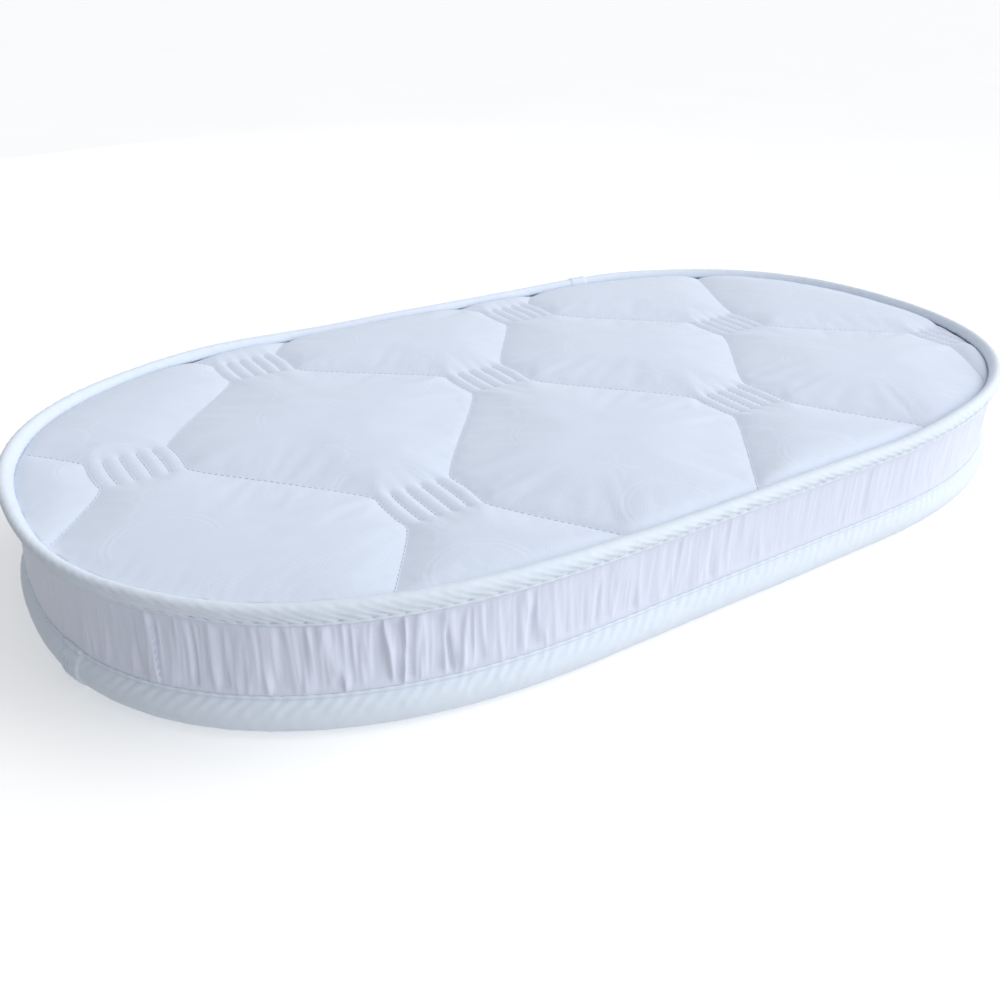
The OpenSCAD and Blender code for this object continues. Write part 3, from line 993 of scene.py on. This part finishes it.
def blow_up(obj, pinned, frames=16, pressure=3.6, spare=0.0015):
    """Cloth simulation with air pressure from below, held at the pinned points. Returns the
    points where it comes to rest, in millimetres."""
    group = obj.vertex_groups.new(name="pinned")
    group.add(np.nonzero(pinned)[0].tolist(), 1.0, "REPLACE")
    cloth = obj.modifiers.new("cloth", "CLOTH")
    settings = cloth.settings
    settings.quality = 5
    settings.mass = 0.3
    settings.tension_stiffness = settings.compression_stiffness = 20
    settings.shear_stiffness = 8
    settings.bending_stiffness = 0.4
    settings.use_pressure = True
    settings.uniform_pressure_force = pressure
    settings.shrink_min = -spare
    settings.effector_weights.gravity = 0
    settings.vertex_group_mass = "pinned"
    cloth.point_cache.frame_start = 1
    cloth.point_cache.frame_end = frames
    for k in range(1, frames + 1):
        scene.frame_set(k)
    rested = obj.evaluated_get(bpy.context.evaluated_depsgraph_get())
    found = np.empty(len(obj.data.vertices) * 3, np.float32)
    rested.data.vertices.foreach_get("co", found)
    obj.modifiers.remove(cloth)
    obj.vertex_groups.clear()
    scene.frame_set(1)
    return found.reshape(-1, 3) / MM


MOST_MOVED = np.array([1.5, 1.5, 4.0])  # the most that the simulation may move a point


def quilted_face():
    """The quilted face's points, its triangles, and how far inside the outline each point is."""
    flat, faces = triangles(quilt_points(1.0))
    seam_gap, depth = seam_distance(flat), inside_by(flat)
    start = np.column_stack([flat, quilt_height(flat, seam_gap, depth)])
    trial = new_object("quilt_trial", start, faces.tolist())
    pinned = (seam_gap < 0.5) | (depth < PANEL_END + 2.5)
    moved = blow_up(trial, pinned) - start
    bpy.data.objects.remove(trial)
    return start + MOST_MOVED * np.tanh(moved / MOST_MOVED), faces, depth


face_points, face_triangles, edge_depth = quilted_face()


def make_panel(name, upside_down):
    """A quilted panel. The lower one lies on the floor: its pillows are pressed flat, and its
    seams are a little above the floor."""
    points, faces = face_points.copy(), face_triangles
    if upside_down:
        lift = np.maximum(0, (SEAM_Z + PRESSED_SEAM) - points[:, 2])
        edge = edge_drop(edge_depth)
        pressed = np.minimum(lift, PRESSED_SEAM)
        points[:, 2] = pressed * (1 - edge) + (HEIGHT - PANEL_END_Z) * edge
        faces = faces[:, ::-1]
    return thicken(new_object(name, points, faces.tolist()), PANEL_T)


for side, _, upside_down in SIDES:
    panel = make_panel(side + "_panel_cloth", upside_down)
    finish_piece(panel, TICKING, side + "_panel")


def make_wadding(name, upside_down):
    """The wadding under a panel: it follows the panel on one side and is flat on the other."""
    flat, faces = triangles(quilt_points(2.0))
    depth = inside_by(flat)
    drop = 1 - edge_drop(depth)
    if upside_down:
        lower = PRESSED_FLEECE * drop + (HEIGHT - PANEL_END_Z + 1.0) * (1 - drop)
        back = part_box("bottom_backing")[0].z / MM - 0.1
        upper = np.maximum(back * drop + (HEIGHT - PANEL_END_Z + 2.2) * (1 - drop), lower + 0.3)
    else:
        upper = quilt_height(flat, seam_distance(flat) * 0.8, depth) - 1.6
        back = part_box("top_backing")[1].z / MM + 0.1
        lower = np.minimum(PANEL_END_Z - 2.2 + (back - PANEL_END_Z + 2.2) * drop, upper - 0.3)
    top_points, low_points = np.column_stack([flat, upper]), np.column_stack([flat, lower])
    count = len(flat)
    edges = np.concatenate([faces[:, [k, (k + 1) % 3]] for k in range(3)])
    ends = np.sort(edges, 1)
    _, where, times = np.unique(ends, axis=0, return_index=True, return_counts=True)
    rim = edges[where[times == 1]]
    sides = np.stack([rim[:, 1], rim[:, 0], rim[:, 0] + count, rim[:, 1] + count], 1)
    all_faces = faces.tolist() + (faces[:, ::-1] + count).tolist() + sides.tolist()
    return new_object(name, np.concatenate([top_points, low_points]), all_faces)


for side, _, upside_down in SIDES:
    wadding = make_wadding(side + "_wadding_fleece", upside_down)
    finish_piece(wadding, FLEECE, side + "_wadding")


def quilting_stitches(name, upside_down):
    """Short stitches along every quilting seam."""
    length, pitch = 3.4, 4.0
    q = np.linspace(-1, 1, 5)
    stitches = []
    for line in SEAMS:
        run = run_of(line)
        count = max(1, round(run[-1] / pitch))
        middle = (np.arange(count) + 0.5) * run[-1] / count
        stitches.append(along(middle[:, None] + q * length / 2, run, line))
    xy = np.concatenate(stitches)
    depth = inside_by(xy.reshape(-1, 2)).reshape(xy.shape[:2])
    keep = (np.abs(xy[:, :, 1]) < HALF_WIDTH).all(1) & (depth > 10).all(1)
    xy, depth = xy[keep], depth[keep]
    seam, edge = (f(xy.reshape(-1, 2)).reshape(depth.shape) for f in (seam_height, edge_height))
    level = edge + (seam - edge) * (1 - edge_drop(depth))
    lift = 0.30 * (1 - q**2) - 0.05
    z = level + lift
    if upside_down:
        lip, low = HEIGHT - PANEL_END_Z, SEAM_Z + PRESSED_SEAM - seam
        z = lip - (lip - low) * (1 - edge_drop(depth)) - lift
    paths = np.concatenate([xy, z[..., None]], -1)
    up = np.broadcast_to((0, 0, -1.0 if upside_down else 1.0), paths.shape)
    return threads(name, paths, up, 0.3)


for side, _, upside_down in SIDES:
    stitches = quilting_stitches(side + "_quilting_stitches", upside_down)
    finish_piece(stitches, THREAD, side + "_quilting_thread")


# ------------ CAD nodes that stay

for node in ("foam_core", "top_backing", "bottom_backing", "border_backing"):
    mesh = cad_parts[node].data
    mesh.materials.clear()
    mesh.materials.append(FOAM if node == "foam_core" else NONWOVEN)


# ------------ floor, light and camera

SKY_TOWARDS = (0.62, -0.5, -0.03)  # where the surroundings are brightest
SKY_LIGHT = (0.07, 1.21)  # their light on the far side and on that side
PAPER_WHITE = (0.97, 0.985, 1.0, 1)
# The view: degrees round and up, the camera's tilt in radians, its lens, and where it looks and
# how far off it is, both in lengths of the mattress
AZIMUTH, ELEVATION, TILT = -33.71, 28.3, 0.0097
LENS = 35.41
LOOKS_AT = (-0.0823, -0.0182, 0)
DISTANCE = 0.9466


def make_floor():
    """A wide pale disc just under the mattress, which throws no light back at it."""
    rings, sides = 24, 96
    radius = np.geomspace(0.3, 60, rings) * 1000
    angle = np.arange(sides) * 2 * np.pi / sides
    ring = np.stack([np.cos(angle), np.sin(angle), 0 * angle], 1)
    points = (radius[:, None, None] * ring).reshape(-1, 3)
    faces = grid_faces(rings, sides, False, True)
    floor = new_object("floor", points, faces.tolist() + [list(range(sides))], False)
    floor.location.z = -0.0003
    floor.data.materials.append(floor_material())
    floor.visible_diffuse = False


def area_light(name, location, target, size, watts):
    """A soft white light that shines towards a target."""
    data = bpy.data.lights.new(name, "AREA")
    data.shape = "RECTANGLE"
    data.size, data.size_y = size
    data.energy = watts
    light = bpy.data.objects.new(name, data)
    light.location = location
    light.rotation_euler = (Vector(target) - Vector(location)).to_track_quat("-Z", "Y").to_euler()
    scene.collection.objects.link(light)


def make_camera():
    """The camera, at the three-quarter view from the front and above."""
    azimuth, elevation = math.radians(AZIMUTH), math.radians(ELEVATION)
    across = Vector((math.cos(azimuth), math.sin(azimuth), 0))
    level = math.cos(elevation)
    back = Vector((math.sin(azimuth) * level, -math.cos(azimuth) * level, math.sin(elevation)))
    up = back.cross(across)
    right = math.cos(TILT) * across + math.sin(TILT) * up
    top = -math.sin(TILT) * across + math.cos(TILT) * up
    data = bpy.data.cameras.new("camera")
    data.lens = LENS
    data.clip_start, data.clip_end = 0.01, 200
    camera = bpy.data.objects.new("camera", data)
    length = 2 * HALF_LENGTH * MM
    place = Vector(LOOKS_AT) * length + back * DISTANCE * length
    turned = Matrix((right, top, back)).transposed().to_4x4()
    camera.matrix_world = Matrix.Translation(place) @ turned
    scene.collection.objects.link(camera)
    scene.camera = camera


def make_world():
    """Surroundings that the camera sees white, and whose light comes mostly from the right."""
    world = bpy.data.worlds.new("studio")
    world.use_nodes = True
    tree = world.node_tree
    background = tree.nodes["Background"]
    background.inputs["Color"].default_value = PAPER_WHITE
    place = tree.nodes.new("ShaderNodeTexCoord")
    facing = tree.nodes.new("ShaderNodeVectorMath")
    facing.operation = "DOT_PRODUCT"
    facing.inputs[1].default_value = SKY_TOWARDS
    light = tree.nodes.new("ShaderNodeMapRange")
    light.inputs["From Min"].default_value = -1
    light.inputs["To Min"].default_value = SKY_LIGHT[0]
    light.inputs["To Max"].default_value = SKY_LIGHT[1]
    seen = tree.nodes.new("ShaderNodeLightPath")
    strength = tree.nodes.new("ShaderNodeMix")
    strength.data_type = "FLOAT"
    strength.inputs["B"].default_value = 1.0
    for output, socket in (
        (place.outputs["Generated"], facing.inputs[0]),
        (facing.outputs["Value"], light.inputs["Value"]),
        (seen.outputs["Is Camera Ray"], strength.inputs["Factor"]),
        (light.outputs["Result"], strength.inputs["A"]),
        (strength.outputs["Result"], background.inputs["Strength"]),
    ):
        tree.links.new(output, socket)
    scene.world = world


def sun_light(name, towards, strength, softness):
    """Light from one side, from a patch of sky softness degrees across."""
    data = bpy.data.lights.new(name, "SUN")
    data.energy = strength
    data.angle = math.radians(softness)
    light = bpy.data.objects.new(name, data)
    light.rotation_euler = Vector(towards).to_track_quat("Z", "Y").to_euler()
    scene.collection.objects.link(light)


make_floor()
make_world()
sun_light("window", (0.80, -0.30, 0.75), strength=0.75, softness=40)
area_light("key", (0.75, -1.35, 0.55), (0.15, 0, 0.05), size=(0.9, 0.7), watts=5)
area_light("ceiling", (0.30, 0.0, 0.95), (0.10, 0, 0.05), size=(0.6, 0.5), watts=0.75)
area_light("rear_fill", (-0.40, 1.50, 0.45), (0, 0, 0.03), size=(1.2, 0.8), watts=3.0)
make_camera()
scene.view_settings.view_transform = "Standard"
scene.view_settings.look = "None"
